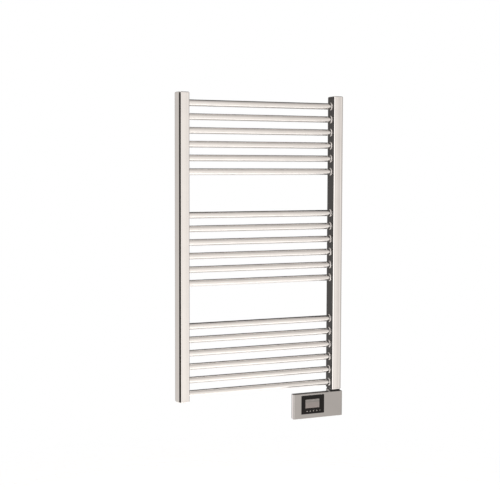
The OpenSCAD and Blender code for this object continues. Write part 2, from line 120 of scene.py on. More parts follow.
def chrome(name, tint, polish=(0.035, 0.075), ripple=0.02, stretch=(1, 1, 1), painted_shade_x=None):
    """Polished plating: a faint cloudy tint, wiped streaks in the gloss, and a slow ripple.

    Where an X is given, the plating nearer the object's middle than this X is darkened: painted shade,
    a dark reflection painted into the colour. That covers the uprights' inner faces, between the bars'
    joints.
    """
    mat, tree, shader = new_material(name)
    shader.inputs["Metallic"].default_value = 1.0
    cloud = noise(tree, 22.0, 4.0, 0.55)
    darker = tuple(0.955 * c for c in tint)
    colour = ramp(tree, cloud, [(0.3, darker), (0.7, tint)])
    # Painted shade: the plating's colour darkened towards the middle, a dark reflection painted in.
    if painted_shade_x:
        place = add(tree, "ShaderNodeTexCoord")
        split = add(tree, "ShaderNodeSeparateXYZ")
        tree.links.new(place.outputs["Object"], split.inputs["Vector"])
        out = add(tree, "ShaderNodeMath", operation="ABSOLUTE")
        tree.links.new(split.outputs["X"], out.inputs[0])
        edge = (painted_shade_x, painted_shade_x + PAINTED_SHADE_FADE)
        painted_shade_scale = remap(tree, out.outputs["Value"], edge, (PAINTED_SHADE_TONE, 1.0), "SMOOTHSTEP")
        scale = add(tree, "ShaderNodeVectorMath", operation="SCALE")
        tree.links.new(colour, scale.inputs[0])
        tree.links.new(painted_shade_scale, scale.inputs["Scale"])
        colour = scale.outputs["Vector"]
    tree.links.new(colour, shader.inputs["Base Color"])
    wipe = noise(tree, 90.0, 5.0, 0.6, stretch)
    tree.links.new(span_map(tree, wipe, *polish), shader.inputs["Roughness"])
    bump(tree, shader, noise(tree, 35.0, 2.0, 0.4), ripple, 0.0004)
    return mat


def plastic(name, low, high, rough=(0.4, 0.55), grain=900.0, depth=0.00004, coat=0.0, gloss=0.5):
    """Moulded plastic: a fine spark-eroded grain and a slight change of tone."""
    mat, tree, shader = new_material(name)
    tree.links.new(ramp(tree, noise(tree, 45.0), [(0.3, low), (0.7, high)]), shader.inputs["Base Color"])
    tree.links.new(span_map(tree, noise(tree, 160.0), *rough), shader.inputs["Roughness"])
    bump(tree, shader, noise(tree, grain, 2.0, 0.6), 0.35, depth)
    shader.inputs["Coat Weight"].default_value = coat
    shader.inputs["Specular IOR Level"].default_value = gloss
    return mat


def metal(name, low, high, rough, scale=140.0, stretch=(1, 1, 1), depth=0.00002):
    """Machined or drawn metal with its marks along an axis."""
    mat, tree, shader = new_material(name)
    shader.inputs["Metallic"].default_value = 1.0
    marks = noise(tree, scale, 4.0, 0.6, stretch)
    tree.links.new(ramp(tree, marks, [(0.3, low), (0.7, high)]), shader.inputs["Base Color"])
    tree.links.new(span_map(tree, marks, *rough), shader.inputs["Roughness"])
    bump(tree, shader, marks, 0.4, depth)
    return mat


def board_material(name):
    """Green solder mask with copper tracks under it."""
    mat, tree, shader = new_material(name)
    place = add(tree, "ShaderNodeTexCoord")
    tracks = add(tree, "ShaderNodeTexBrick", Scale=260.0)
    tracks.inputs["Color1"].default_value = (0.012, 0.10, 0.035, 1)
    tracks.inputs["Color2"].default_value = (0.015, 0.12, 0.04, 1)
    tracks.inputs["Mortar"].default_value = (0.04, 0.20, 0.07, 1)
    turn = add(tree, "ShaderNodeMapping", Rotation=(math.pi / 2, 0, 0))
    tree.links.new(place.outputs["Object"], turn.inputs["Vector"])
    tree.links.new(turn.outputs["Vector"], tracks.inputs["Vector"])
    tree.links.new(tracks.outputs["Color"], shader.inputs["Base Color"])
    tree.links.new(span_map(tree, noise(tree, 300.0), 0.3, 0.45), shader.inputs["Roughness"])
    return mat


def lcd_material(name):
    """Unlit liquid crystal glass: grey film with a faint grid of cells and a darker upper line."""
    mat, tree, shader = new_material(name)
    low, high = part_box("lcd_module")
    place = add(tree, "ShaderNodeTexCoord")
    split = add(tree, "ShaderNodeSeparateXYZ")
    tree.links.new(place.outputs["Object"], split.inputs["Vector"])
    height = remap(tree, split.outputs["Z"], (low.z, high.z), (0.0, 1.0))
    film = ramp(tree, height, [
        (0.0, (0.235, 0.205, 0.195)), (0.62, (0.215, 0.195, 0.185)), (0.70, (0.165, 0.155, 0.145)),
        (0.76, (0.215, 0.200, 0.190)), (1.0, (0.225, 0.205, 0.195)),
    ])
    grid = add(tree, "ShaderNodeTexBrick", Scale=420.0, offset=0.0)
    grid.inputs["Mortar Size"].default_value = 0.03
    grid.inputs["Color1"].default_value = (1, 1, 1, 1)
    grid.inputs["Color2"].default_value = (0.97, 0.97, 0.97, 1)
    grid.inputs["Mortar"].default_value = (0.88, 0.88, 0.88, 1)
    turn = add(tree, "ShaderNodeMapping", Rotation=(math.pi / 2, 0, 0))
    tree.links.new(place.outputs["Object"], turn.inputs["Vector"])
    tree.links.new(turn.outputs["Vector"], grid.inputs["Vector"])
    both = add(tree, "ShaderNodeMix", data_type="RGBA", blend_type="MULTIPLY")
    both.inputs["Factor"].default_value = 1.0
    tree.links.new(film, both.inputs["A"])
    tree.links.new(grid.outputs["Color"], both.inputs["B"])
    tree.links.new(both.outputs["Result"], shader.inputs["Base Color"])
    tree.links.new(span_map(tree, noise(tree, 200.0), 0.16, 0.24), shader.inputs["Roughness"])
    shader.inputs["Specular IOR Level"].default_value = 0.25
    return mat


CHROME_TINT = (0.905, 0.880, 0.862)
# Painted shade on the uprights' and caps' inner faces: where it starts, how far it fades in, and its darkest
# tone.
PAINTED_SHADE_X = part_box("right_upright")[0].x + 0.2 * MM
PAINTED_SHADE_FADE = 0.8 * MM
PAINTED_SHADE_TONE = 0.07
M = {
    # The uprights' and caps' chrome carries the painted shade, a painted dark reflection, on its inner faces.
    "upright": chrome("upright_chrome_painted_shade", CHROME_TINT, stretch=(1, 1, 0.15), painted_shade_x=PAINTED_SHADE_X),
    "bar": chrome("bar_chrome_finish", CHROME_TINT, stretch=(0.12, 1, 1)),
    "cap": chrome("cap_chrome_painted_shade", CHROME_TINT, painted_shade_x=PAINTED_SHADE_X),
    "braze": chrome("braze_finish", (0.86, 0.83, 0.81), (0.06, 0.14), 0.10),
    "housing": chrome("housing_chrome_finish", (0.475, 0.460, 0.450), (0.015, 0.045), 0.008),
    "plug": chrome("plug_chrome_finish", (0.86, 0.84, 0.83), (0.05, 0.12)),
    "insert": metal("insert_steel_finish", (0.42, 0.41, 0.40), (0.60, 0.58, 0.56), (0.22, 0.40)),
    "screw": metal("screw_steel_finish", (0.50, 0.49, 0.47), (0.66, 0.64, 0.62), (0.20, 0.36)),
    "sheath": metal(
        "element_sheath_finish", (0.25, 0.22, 0.20), (0.42, 0.38, 0.35), (0.30, 0.5), 80.0, (1, 1, 0.2)
    ),
    "brass": metal("brass_finish", (0.55, 0.38, 0.14), (0.74, 0.54, 0.24), (0.20, 0.38)),
    "seal": plastic("seal_rubber_finish", (0.008, 0.008, 0.008), (0.016, 0.015, 0.014), (0.55, 0.75)),
    "ceramic": plastic("ceramic_finish", (0.62, 0.58, 0.50), (0.72, 0.68, 0.60), (0.5, 0.7)),
    "lead": plastic("lead_insulation_finish", (0.30, 0.030, 0.020), (0.42, 0.05, 0.035), (0.4, 0.55)),
    "back": plastic("back_plastic_finish", (0.026, 0.026, 0.027), (0.042, 0.041, 0.040), (0.45, 0.62)),
    "window": plastic(
        "window_black_finish", (0.0035, 0.0028, 0.0024), (0.006, 0.005, 0.0045), (0.05, 0.10),
        400.0, 0.000004, gloss=0.22,
    ),
    "lcd": lcd_material("lcd_glass_finish"),
    "board": board_material("board_green_finish"),
    "relay": plastic("relay_blue_finish", (0.02, 0.07, 0.22), (0.03, 0.10, 0.30), (0.3, 0.45)),
    "terminal": plastic("terminal_ivory_finish", (0.50, 0.47, 0.38), (0.62, 0.58, 0.48), (0.4, 0.55)),
    "ribbon": plastic("ribbon_grey_finish", (0.34, 0.34, 0.34), (0.46, 0.46, 0.45), (0.4, 0.55), 500.0),
    "switch": plastic("switch_plastic_finish", (0.05, 0.05, 0.05), (0.08, 0.08, 0.08), (0.4, 0.55)),
    "key": plastic(
        "key_black_finish", (0.008, 0.007, 0.0065), (0.014, 0.012, 0.011), (0.12, 0.20), 700.0, 0.000006
    ),
    "plunger": plastic("plunger_grey_finish", (0.20, 0.20, 0.20), (0.30, 0.30, 0.29), (0.35, 0.5)),
    "icon": plastic(
        "icon_print_finish", (0.42, 0.38, 0.36), (0.52, 0.47, 0.45), (0.4, 0.55), 1500.0, 0.000003
    ),
}

NODE_LOOKS = {
    "heating_element": "sheath", "element_plug": "brass", "thermal_cutout": "ceramic",
    "element_leads": "lead", "control_board": "board", "power_board": "board",
    "board_screws": "screw", "relay": "relay", "terminal_block": "terminal",
    "board_ribbon": "ribbon", "cord_clamp": "terminal", "cord_clamp_screws": "screw",
    "switch_bodies": "switch", "power_plunger": "plunger", "timer_plunger": "plunger",
    "down_plunger": "plunger", "up_plunger": "plunger", "mode_plunger": "plunger",
}


def dress_node(name, look):
    """Puts a material on a carried-over CAD node."""
    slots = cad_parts[name].data.materials
    slots.clear()
    slots.append(M[look])


# ---------------------------------------------------------------- mesh helpers


def finish_piece(name, bm, look, node_names, body, sharp=35.0, weighted=True):
    """Turns a bmesh into a shown piece that stands for its CAD nodes and rides on its body."""
    bmesh.ops.remove_doubles(bm, verts=bm.verts, dist=1e-7)
    bmesh.ops.recalc_face_normals(bm, faces=bm.faces)
    mesh = bpy.data.meshes.new(name)
    bm.to_mesh(mesh)
    bm.free()
    mesh.materials.append(M[look])
    mesh.shade_smooth()
    mesh.set_sharp_from_angle(angle=math.radians(sharp))
    obj = bpy.data.objects.new(name, mesh)
    bpy.context.collection.objects.link(obj)
    if weighted:
        modifier = obj.modifiers.new("even_normals", "WEIGHTED_NORMAL")
        modifier.keep_sharp = True
        modifier.weight = 80
    if node_names:
        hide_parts(*node_names)
    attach(obj, body)
    return obj


def loft(bm, rings, close_start=True, close_end=True):
    """Skins a list of closed rings of points with quads, and closes its ends."""
    made = [[bm.verts.new(p) for p in ring] for ring in rings]
    count = len(rings[0])
    for a, b in zip(made, made[1:]):
        for i in range(count):
            j = (i + 1) % count
            bm.faces.new((a[i], a[j], b[j], b[i]))
    if close_start:
        bm.faces.new(list(reversed(made[0])))
    if close_end:
        bm.faces.new(made[-1])


def revolve(bm, profile, centre, axis, steps=64):
    """Spins a closed or end-to-end profile of (radius, distance along axis) round an axis letter."""
    side = {"X": (1, 2, 0), "Y": (2, 0, 1), "Z": (0, 1, 2)}[axis]
    rings = []
    for k in range(steps):
        a = 2 * math.pi * k / steps
        ring = []
        for r, along in profile:
            p = [0.0, 0.0, 0.0]
            p[side[0]] = centre[side[0]] + r * math.cos(a)
            p[side[1]] = centre[side[1]] + r * math.sin(a)
            p[side[2]] = centre[side[2]] + along
            ring.append(p)
        rings.append(ring)
    made = [[bm.verts.new(p) for p in ring] for ring in rings]
    count = len(profile)
    for k in range(steps):
        a, b = made[k], made[(k + 1) % steps]
        for i in range(count):
            j = (i + 1) % count
            if profile[i][0] == 0 and profile[j][0] == 0:
                continue
            corners = [a[i], a[j], b[j], b[i]]
            if profile[i][0] == 0:
                corners = [a[i], a[j], b[j]]
            elif profile[j][0] == 0:
                corners = [a[i], a[j], b[i]]
            bm.faces.new(corners)
    for i, (r, along) in enumerate(profile):
        if r == 0:
            bmesh.ops.pointmerge(bm, verts=[ring[i] for ring in made], merge_co=made[0][i].co)


def arc(cx, cy, r, angles):
    """Points of an arc at these angles in degrees."""
    return [(cx + r * math.cos(math.radians(a)), cy + r * math.sin(math.radians(a))) for a in angles]


def quarter(cx, cy, r, a0, a1, steps):
    """Points of an arc from angle a0 to a1, in degrees, in equal steps."""
    return arc(cx, cy, r, [a0 + (a1 - a0) * i / steps for i in range(steps + 1)])


def rounded_rect(x0, x1, z0, z1, r, steps=6):
    """Outline of a rectangle with rounded corners, anticlockwise."""
    points = []
    centres = ((x1 - r, z1 - r), (x0 + r, z1 - r), (x0 + r, z0 + r), (x1 - r, z0 + r))
    for i, (cx, cz) in enumerate(centres):
        points += quarter(cx, cz, r, 90 * i, 90 * i + 90, steps)
    return points


def box_rings(x0, x1, z0, z1, r, levels, steps=6):
    """Rings of a rounded rectangle facing Y, as (y, inset) levels."""
    return [
        [(x, y, z) for x, z in rounded_rect(x0 + s, x1 - s, z0 + s, z1 - s, max(r - s, 0.00005), steps)]
        for y, s in levels
    ]


def cut(bm, cutters):
    """Takes the cutters' solids, each a bmesh, out of the bmesh, exactly."""
    def made(name, source):
        bmesh.ops.recalc_face_normals(source, faces=source.faces)
        mesh = bpy.data.meshes.new(name)
        source.to_mesh(mesh)
        source.free()
        obj = bpy.data.objects.new(name, mesh)
        bpy.context.collection.objects.link(obj)
        return obj

    target = made("cut_target", bm)
    tools = [made("cut_tool_%02d" % i, c) for i, c in enumerate(cutters)]
    for tool in tools:
        modifier = target.modifiers.new("cut", "BOOLEAN")
        modifier.operation = "DIFFERENCE"
        modifier.solver = "EXACT"
        modifier.object = tool
    bpy.context.view_layer.update()
    shaped = target.evaluated_get(bpy.context.evaluated_depsgraph_get())
    result = bmesh.new()
    result.from_mesh(shaped.to_mesh())
    shaped.to_mesh_clear()
    for obj in (target, *tools):
        mesh = obj.data
        bpy.data.objects.remove(obj)
        bpy.data.meshes.remove(mesh)
    return result


def cylinder_cutter(centre, r, axis, length, steps=48):
    """A round cutter that starts at centre and runs along the axis."""
    bm = bmesh.new()
    revolve(bm, [(0, 0), (r, 0), (r, length), (0, length)], centre, axis, steps)
    return bm


def block_cutter(low, high):
    """A box cutter between two corners."""
    bm = bmesh.new()
    rings = [
        [(low[0], low[1], z), (high[0], low[1], z), (high[0], high[1], z), (low[0], high[1], z)]
        for z in (low[2], high[2])
    ]
    loft(bm, rings)
    return bm


# ---------------------------------------------------------------- uprights and caps


# The D-section's corner radii, how far its outer face stands out, and its front face's tilt in degrees.
INNER_R, OUTER_R, CROWN = 4 * MM, 8 * MM, 3 * MM
FRONT_TILT = 4.0
INSERT_R = 7 * MM
ROD_BORE_R = 10.3 * MM


def front_bow(x0, x1, y):
    """Points of the barely bowed front face between its corners, which it meets at its tilt."""
    middle, half = (x0 + x1) / 2, (x1 - x0) / 2
    drop = half * math.tan(math.radians(FRONT_TILT)) / 2
    return [
        (middle + half * k / 8, y + drop * (k / 8) ** 2)
        for k in range(-7, 8)
    ]


def section(box, side, inset=0.0):
    """Outline of the D-section on the side -1 or 1, moved inwards by inset."""
    low, high = box
    width, half = high.x - low.x, (high.y - low.y) / 2
    mid_y = (high.y + low.y) / 2
    inner = low.x if side > 0 else -high.x
    out_x, out_y = width - OUTER_R - CROWN, half - OUTER_R
    reach = (out_y**2 - CROWN**2) / (2 * CROWN)
    crown_r = reach + CROWN + OUTER_R - inset
    tilt = math.degrees(math.atan2(out_y, reach))
    in_y = half - INNER_R
    points = quarter(INNER_R, -in_y, INNER_R - inset, 180, 270 - FRONT_TILT, 8)
    points += front_bow(INNER_R, out_x, -half + inset)
    points += quarter(out_x, -out_y, OUTER_R - inset, 270 + FRONT_TILT, 360 - tilt, 12)
    points += quarter(out_x - reach, 0, crown_r, -tilt, tilt, 24)[1:-1]
    points += quarter(out_x, out_y, OUTER_R - inset, tilt, 90, 12)
    points += quarter(INNER_R, in_y, INNER_R - inset, 90, 180, 8)
    outline = [(side * (inner + x), mid_y + y) for x, y in points]
    return outline if side > 0 else outline[::-1]


def tube_levels(z0, z1, rim):
    """(z, inset) levels of a tube end to end with a hairline rounding at the welded joints."""
    return [(z0, rim), (z0 + rim, 0.0), (z1 - rim, 0.0), (z1, rim)]


def upright(name, side):
    """D-section tube with its holes for the wall inserts and, on the left, the fill plug."""
    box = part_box(name)
    low, high = box
    bm = bmesh.new()
    levels = tube_levels(low.z, high.z, 0.25 * MM)
    loft(bm, [[(x, y, z) for x, y in section(box, side, inset)] for z, inset in levels])
    cutters = []
    inserts_low, inserts_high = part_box("wall_fixing_inserts")
    axis_x = side * (inserts_high.x - INSERT_R)
    for z in (inserts_low.z + INSERT_R, inserts_high.z - INSERT_R):
        cutters.append(cylinder_cutter((axis_x, high.y - 14 * MM, z), INSERT_R + 0.05 * MM, "Y", 16 * MM))
    if side < 0:
        plug_low, plug_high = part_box("fill_plug")
        z = (plug_low.z + plug_high.z) / 2
        cutters.append(cylinder_cutter((axis_x, high.y - 12 * MM, z), 6.1 * MM, "Y", 14 * MM))
    finish_piece(name + "_tube", cut(bm, cutters), "upright", [name], "rack")


def end_cap(name, side, up):
    """Rounded end with a fine weld groove where it meets the tube."""
    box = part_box(name)
    upright_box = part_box("right_upright" if side > 0 else "left_upright")
    seam, tip = (upright_box[1].z, box[1].z) if up else (upright_box[0].z, box[0].z)
    way = 1 if up else -1
    rim = 3 * MM
    tenon, groove = 1.7 * MM, 0.25 * MM
    levels = [(seam - way * 3 * MM, tenon), (seam, tenon), (seam, groove), (seam + way * groove, 0.0)]
    for i in range(9):
        a = math.radians(90 * i / 8)
        levels.append((tip - way * rim * (1 - math.sin(a)), rim * (1 - math.cos(a))))
    rings = [[(x, y, z) for x, y in section(upright_box, side, inset)] for z, inset in levels]
    bm = bmesh.new()
    loft(bm, rings)
    if name == "right_bottom_cap":
        low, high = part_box("element_seal")
        centre = ((low.x + high.x) / 2, (low.y + high.y) / 2, tip - 2 * MM)
        bm = cut(bm, [cylinder_cutter(centre, ROD_BORE_R, "Z", 12 * MM)])
    finish_piece(name + "_shell", bm, "cap", [name], "rack", 50.0)


for piece_name, which in (("left_upright", -1), ("right_upright", 1)):
    upright(piece_name, which)
for piece_name, which, up in (
    ("left_top_cap", -1, True), ("right_top_cap", 1, True),
    ("left_bottom_cap", -1, False), ("right_bottom_cap", 1, False),
):
    end_cap(piece_name, which, up)


# ---------------------------------------------------------------- bars and brazed joints


def crossbar(name):
    """Round tube with eased ends, open along its middle."""
    low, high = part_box(name)
    r = (high.z - low.z) / 2
    wall = 1.2 * MM
    length = high.x - low.x
    centre = (low.x, (low.y + high.y) / 2, (low.z + high.z) / 2)
    soft = 0.2 * MM
    profile = [
        (r - wall, 0), (r - soft, 0), (r, soft), (r, length / 2), (r, length - soft), (r - soft, length),
        (r - wall, length),
    ]
    bm = bmesh.new()
    revolve(bm, profile, centre, "X", 72)
    finish_piece(name + "_tube", bm, "bar", [name], "rack", 40.0)


def braze_rings(name, side):
    """One ring of braze at each bar, concave, with the slightly uneven leg of a hand-fed joint."""
    bm = bmesh.new()
    for n, bar in enumerate(BARS):
        low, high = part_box(bar)
        r0 = (high.z - low.z) / 2 - 0.1 * MM
        centre = (0.0, (low.y + high.y) / 2, (low.z + high.z) / 2)
        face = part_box("right_upright")[0].x
        steps = 56
        made = []
        for k in range(steps):
            a = 2 * math.pi * k / steps
            wobble = 1.0 + 0.05 * math.sin(3 * a + 1.7 * n + side) + 0.03 * math.sin(7 * a + 0.9 * n)
            leg = 1.9 * MM * wobble
            ring = [(r0, -0.4 * MM), (r0 + leg + 0.15 * MM, -0.4 * MM), (r0 + leg + 0.1 * MM, 0.02 * MM)]
            ring += [
                (r0 + 0.1 * MM + leg * (1 - math.sin(math.radians(b))), leg * (1 - math.cos(math.radians(b))))
                for b in (15, 30, 45, 60, 75, 88)
            ]
            ring.append((r0, leg))
            made.append([
                bm.verts.new((
                    side * (face - along),
                    centre[1] + r * math.cos(a),
                    centre[2] + r * math.sin(a),
                ))
                for r, along in ring
            ])
        count = len(made[0])
        for k in range(steps):
            a, b = made[k], made[(k + 1) % steps]
            for i in range(count):
                j = (i + 1) % count
                bm.faces.new((a[i], a[j], b[j], b[i]))
    finish_piece(name + "_rings", bm, "braze", [name], "rack", 60.0, False)


for bar in BARS:
    crossbar(bar)
braze_rings("left_braze_fillets", -1)
braze_rings("right_braze_fillets", 1)


# ---------------------------------------------------------------- wall fixings and fill plug


def fixing_inserts():
    """Four threaded inserts with a chamfered mouth and turned thread grooves."""
    low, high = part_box("wall_fixing_inserts")
    r, bore, chamfer, depth = INSERT_R, 3.4 * MM, 0.3 * MM, 11 * MM
    bm = bmesh.new()
    for x in (low.x + r, high.x - r):
        for z in (low.z + r, high.z - r):
            profile = [(r - chamfer, 0.0), (r, -chamfer), (r, low.y + chamfer), (r - chamfer, low.y)]
            profile += [(0, low.y), (0, -depth), (bore, -depth)]
            turns = 8
            for i in range(turns):
                z0 = -depth + 0.6 * MM + i * 1.2 * MM
                profile += [(bore, z0), (bore + 0.5 * MM, z0 + 0.6 * MM)]
            profile += [(bore, -0.7 * MM), (bore + 0.7 * MM, 0.0)]
            revolve(bm, profile, (x, high.y, z), "Y", 40)
    nodes = ["wall_fixing_inserts"]
    finish_piece("wall_fixing_inserts_turned", bm, "insert", nodes, "rack", 30.0)


def fill_plug():
    """Screw-in plug with a softened flange and a hexagon socket."""
    low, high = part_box("fill_plug")
    x, z = (low.x + high.x) / 2, (low.z + high.z) / 2
    r = (high.x - low.x) / 2
    soft = 0.7 * MM
    top, under = high.y, high.y - 3 * MM
    stem_r = 5.95 * MM
    profile = [(0, low.y), (5.6 * MM, low.y), (stem_r, low.y + 0.5 * MM), (stem_r, under)]
    profile += [(r - 0.3 * MM, under), (r, under + 0.3 * MM)]
    profile += arc(r - soft, top - soft, soft, (0, 30, 60, 90))
    profile += [(4.2 * MM, top), (0, top)]
    bm = bmesh.new()
    revolve(bm, profile, (x, 0.0, z), "Y", 56)
    hexagon = bmesh.new()
    outline = arc(x, z, 2.9 * MM, range(0, 360, 60))
    loft(hexagon, [[(hx, y, hz) for hx, hz in outline] for y in (top - 2.6 * MM, top + 1 * MM)])
    finish_piece("fill_plug_turned", cut(bm, [hexagon]), "plug", ["fill_plug"], "rack", 30.0)


def fill_plug_seal():
    """Flat rubber ring with rounded rims under the plug's flange."""
    low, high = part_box("fill_plug_seal")
    r, bore, soft = (high.x - low.x) / 2, 6.1 * MM, 0.3 * MM
    t = high.y - low.y
    profile = [(bore, 0), (r - soft, 0)]
    profile += [(r - soft + soft * math.sin(a), soft - soft * math.cos(a)) for a in (0.5, 1.0, math.pi / 2)]
    profile += [
        (r - soft + soft * math.cos(a), t - soft + soft * math.sin(a)) for a in (0, 0.5, 1.0, math.pi / 2)
    ]
    profile += [(bore, t)]
    bm = bmesh.new()
    revolve(bm, profile, ((low.x + high.x) / 2, low.y, (low.z + high.z) / 2), "Y", 64)
    finish_piece("fill_plug_seal_ring", bm, "seal", ["fill_plug_seal"], "rack", 40.0)


fixing_inserts()
fill_plug()
fill_plug_seal()


def foot_gasket():
    """D-shaped rubber gasket between the upright's foot and the controller, with soft rims."""
    low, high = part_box("element_seal")
    upright_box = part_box("right_upright")
    soft, inset = 0.6 * MM, low.x - upright_box[0].x
    rims = [(soft * (1 - math.sin(a)), soft * (1 - math.cos(a))) for a in (0, 0.4, 0.8, 1.2, math.pi / 2)]
    levels = [(low.z + up, inset + back) for up, back in rims[::-1]]
    levels += [(high.z - up, inset + back) for up, back in rims]
    bm = bmesh.new()
    loft(bm, [[(x, y, z) for x, y in section(upright_box, 1, amount)] for z, amount in levels])
    centre = ((low.x + high.x) / 2, (low.y + high.y) / 2, low.z - 1 * MM)
    bm = cut(bm, [cylinder_cutter(centre, ROD_BORE_R, "Z", 8 * MM)])
    finish_piece("element_seal_gasket", bm, "seal", ["element_seal"], "rack", 40.0)


foot_gasket()


# ---------------------------------------------------------------- controller


HOUSE_LOW, HOUSE_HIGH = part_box("controller_housing")
HEAD_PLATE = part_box("head_back_plate")
BLOCK_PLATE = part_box("block_back_plate")
WINDOW_LOW, WINDOW_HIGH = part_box("display_window")
LIP = 2 * MM
WALL = 2 * MM
LCD_RIM = 2.6 * MM
STEP_X = BLOCK_PLATE[0].x
HEAD_RIM = HEAD_PLATE[0].y - 0.05 * MM
BLOCK_RIM = BLOCK_PLATE[0].y - 0.05 * MM
EDGE_R = 1.1 * MM


def house_plan(inset):
    """Plan of the L-shaped housing, its front and sides moved inwards by inset."""
    x0, x1, y0 = HOUSE_LOW.x, HOUSE_HIGH.x, HOUSE_LOW.y
    r = 2.5 * MM
    points = quarter(x0 + r, y0 + r, r - inset, 180, 270, 10)
    points += quarter(x1 - r, y0 + r, r - inset, 270, 360, 10)
    points += [(x1 - inset, BLOCK_RIM), (STEP_X + inset, BLOCK_RIM)]
    points += [(STEP_X + inset, HEAD_RIM), (x0 + inset, HEAD_RIM)]
    return points


def controller_housing():
    """L-shaped shell, open at the back, with the window's cut-out and the rod's hole."""
    steps = [math.radians(90 * i / 5) for i in range(6)]
    rims = [(EDGE_R * (1 - math.sin(a)), EDGE_R * (1 - math.cos(a))) for a in steps]
    levels = [(HOUSE_LOW.z + up, back) for up, back in rims[::-1]]
    levels += [(HOUSE_HIGH.z - up, back) for up, back in rims]
    bm = bmesh.new()
    loft(bm, [[(x, y, z) for x, y in house_plan(inset)] for z, inset in levels])
    floor_z, top = HOUSE_LOW.z + WALL, HOUSE_HIGH.z - 2.5 * MM
    front = HOUSE_LOW.y + WALL
    head = block_cutter(
        (HOUSE_LOW.x + WALL, front, floor_z), (STEP_X + WALL + 0.05 * MM, HEAD_RIM - 0.5 * MM, top)
    )
    mouth = block_cutter(
        (HOUSE_LOW.x + WALL, HEAD_RIM - 1 * MM, floor_z), (STEP_X - 1 * MM, HEAD_RIM + 1 * MM, top)
    )
    block = block_cutter(
        (STEP_X + WALL, front, floor_z), (HOUSE_HIGH.x - WALL, BLOCK_RIM + 1 * MM, top)
    )
    wx0, wx1 = WINDOW_LOW.x + LIP, WINDOW_HIGH.x - LIP
    wz0, wz1 = WINDOW_LOW.z + LIP, WINDOW_HIGH.z - LIP + 0.15 * MM
    soft = 0.5 * MM
    window = bmesh.new()
    levels = [(front + 1 * MM, 0.0), (HOUSE_LOW.y + soft, 0.0)]
    levels += [
        (HOUSE_LOW.y + soft * (1 - math.sin(math.radians(a))), -soft * (1 - math.cos(math.radians(a))))
        for a in (22, 45, 68, 85)
    ]
    levels.append((HOUSE_LOW.y - 1 * MM, -soft * 1.2))
    loft(window, box_rings(wx0, wx1, wz0, wz1, 1.2 * MM, levels))
    seal_low, seal_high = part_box("element_seal")
    hole = cylinder_cutter(
        ((seal_low.x + seal_high.x) / 2, (seal_low.y + seal_high.y) / 2, top - 1 * MM),
        ROD_BORE_R, "Z", 5 * MM,
    )
    bm = cut(bm, [head, mouth, block, window, hole])
    nodes = ["controller_housing"]
    finish_piece("controller_housing_shell", bm, "housing", nodes, "rack", 30.0)


def key_centre(key):
    """Where the key's axis is, as (x, z)."""
    low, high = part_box(key + "_key")
    return (low.x + high.x) / 2, (low.z + high.z) / 2


def display_window():
    """Gloss black panel with a cut-out for the glass and one for each key."""
    x0, x1 = WINDOW_LOW.x + LIP, WINDOW_HIGH.x - LIP
    z0, z1 = WINDOW_LOW.z + LIP, WINDOW_HIGH.z - LIP
    gap = 0.15 * MM
    y0, y1 = WINDOW_LOW.y, WINDOW_HIGH.y
    soft = 0.35 * MM
    levels = [(y1, gap), (y0 + soft, gap), (y0 + 0.3 * soft, gap + 0.3 * soft), (y0, gap + soft)]
    bm = bmesh.new()
    loft(bm, box_rings(x0, x1, z0, z1 + gap, 1.2 * MM, levels))
    lcd_low, lcd_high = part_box("lcd_module")
    glass = bmesh.new()
    loft(glass, box_rings(
        lcd_low.x + LCD_RIM, lcd_high.x - LCD_RIM, lcd_low.z + LCD_RIM, lcd_high.z - LCD_RIM, 0.5 * MM,
        [(y1 + 1 * MM, 0.0), (y0 - 1 * MM, 0.0)],
    ))
    cutters = [glass]
    for key in KEYS:
        x, z = key_centre(key)
        cutters.append(cylinder_cutter((x, y0 - 1 * MM, z), 3.35 * MM, "Y", 6 * MM, 40))
    nodes = ["display_window"]
    finish_piece("display_window_panel", cut(bm, cutters), "window", nodes, "rack", 30.0)


def lcd_module():
    """Display glass standing in the window's cut-out, on its wider carrier."""
    low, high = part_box("lcd_module")
    rim, gap = LCD_RIM, 0.15 * MM
    face, back = low.y, high.y
    shoulder = WINDOW_HIGH.y + 0.05 * MM
    bm = bmesh.new()
    loft(bm, box_rings(low.x + rim + gap, high.x - rim - gap, low.z + rim + gap, high.z - rim - gap, 0.4 * MM,
                       [(shoulder + 0.1 * MM, 0.0), (face + 0.15 * MM, 0.0), (face, 0.15 * MM)]))
    loft(bm, box_rings(low.x, high.x, low.z, high.z, 0.8 * MM, [(back, 0.0), (shoulder, 0.0)]))
    finish_piece("lcd_module_glass", bm, "lcd", ["lcd_module"], "rack", 30.0)


def key_cap(key):
    """Low-domed key with its collar and stem."""
    node = key + "_key"
    low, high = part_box(node)
    x, z = key_centre(key)
    r = 3.2 * MM
    flange_y = high.y - 2.2 * MM
    front = low.y + 0.06 * MM
    collar_r, stem_r, edge = 4 * MM, 1.5 * MM, 0.4 * MM
    collar_y = flange_y + 1 * MM
    profile = [(0, front), (r - 0.5 * MM, front + 0.03 * MM)]
    profile += arc(r - edge, front + 0.43 * MM, edge, (-70, -45, -20, 0))
    profile += [(r, flange_y), (collar_r, flange_y), (collar_r, collar_y)]
    profile += [(stem_r, collar_y), (stem_r, high.y), (0, high.y)]
    bm = bmesh.new()
    revolve(bm, profile, (x, 0.0, z), "Y", 48)
    finish_piece(node + "_cap", bm, "key", [node], key + "_button", 40.0)


def icon_outlines(key):
    """Generic marks, as closed outlines in millimetres about the key's centre."""
    if key == "power":
        return [quarter(0, 0, 1.25, 0, 345, 24)]
    if key == "timer":
        outer, inner = quarter(0, 0, 1.55, 90, 440, 26), quarter(0, 0, 1.05, 440, 90, 26)
        return [outer + inner]
    if key == "down":
        return [[(-1.6, 1.0), (0.0, -1.5), (1.6, 1.0)]]
    if key == "up":
        return [[(-1.5, -1.2), (0.0, 1.5), (1.5, -1.2), (0.85, -1.2), (0.0, 0.45), (-0.85, -1.2)]]
    hook = quarter(0, 0, 1.5, 60, 290, 20) + quarter(0, 0, 0.95, 290, 60, 20)
    return [hook]


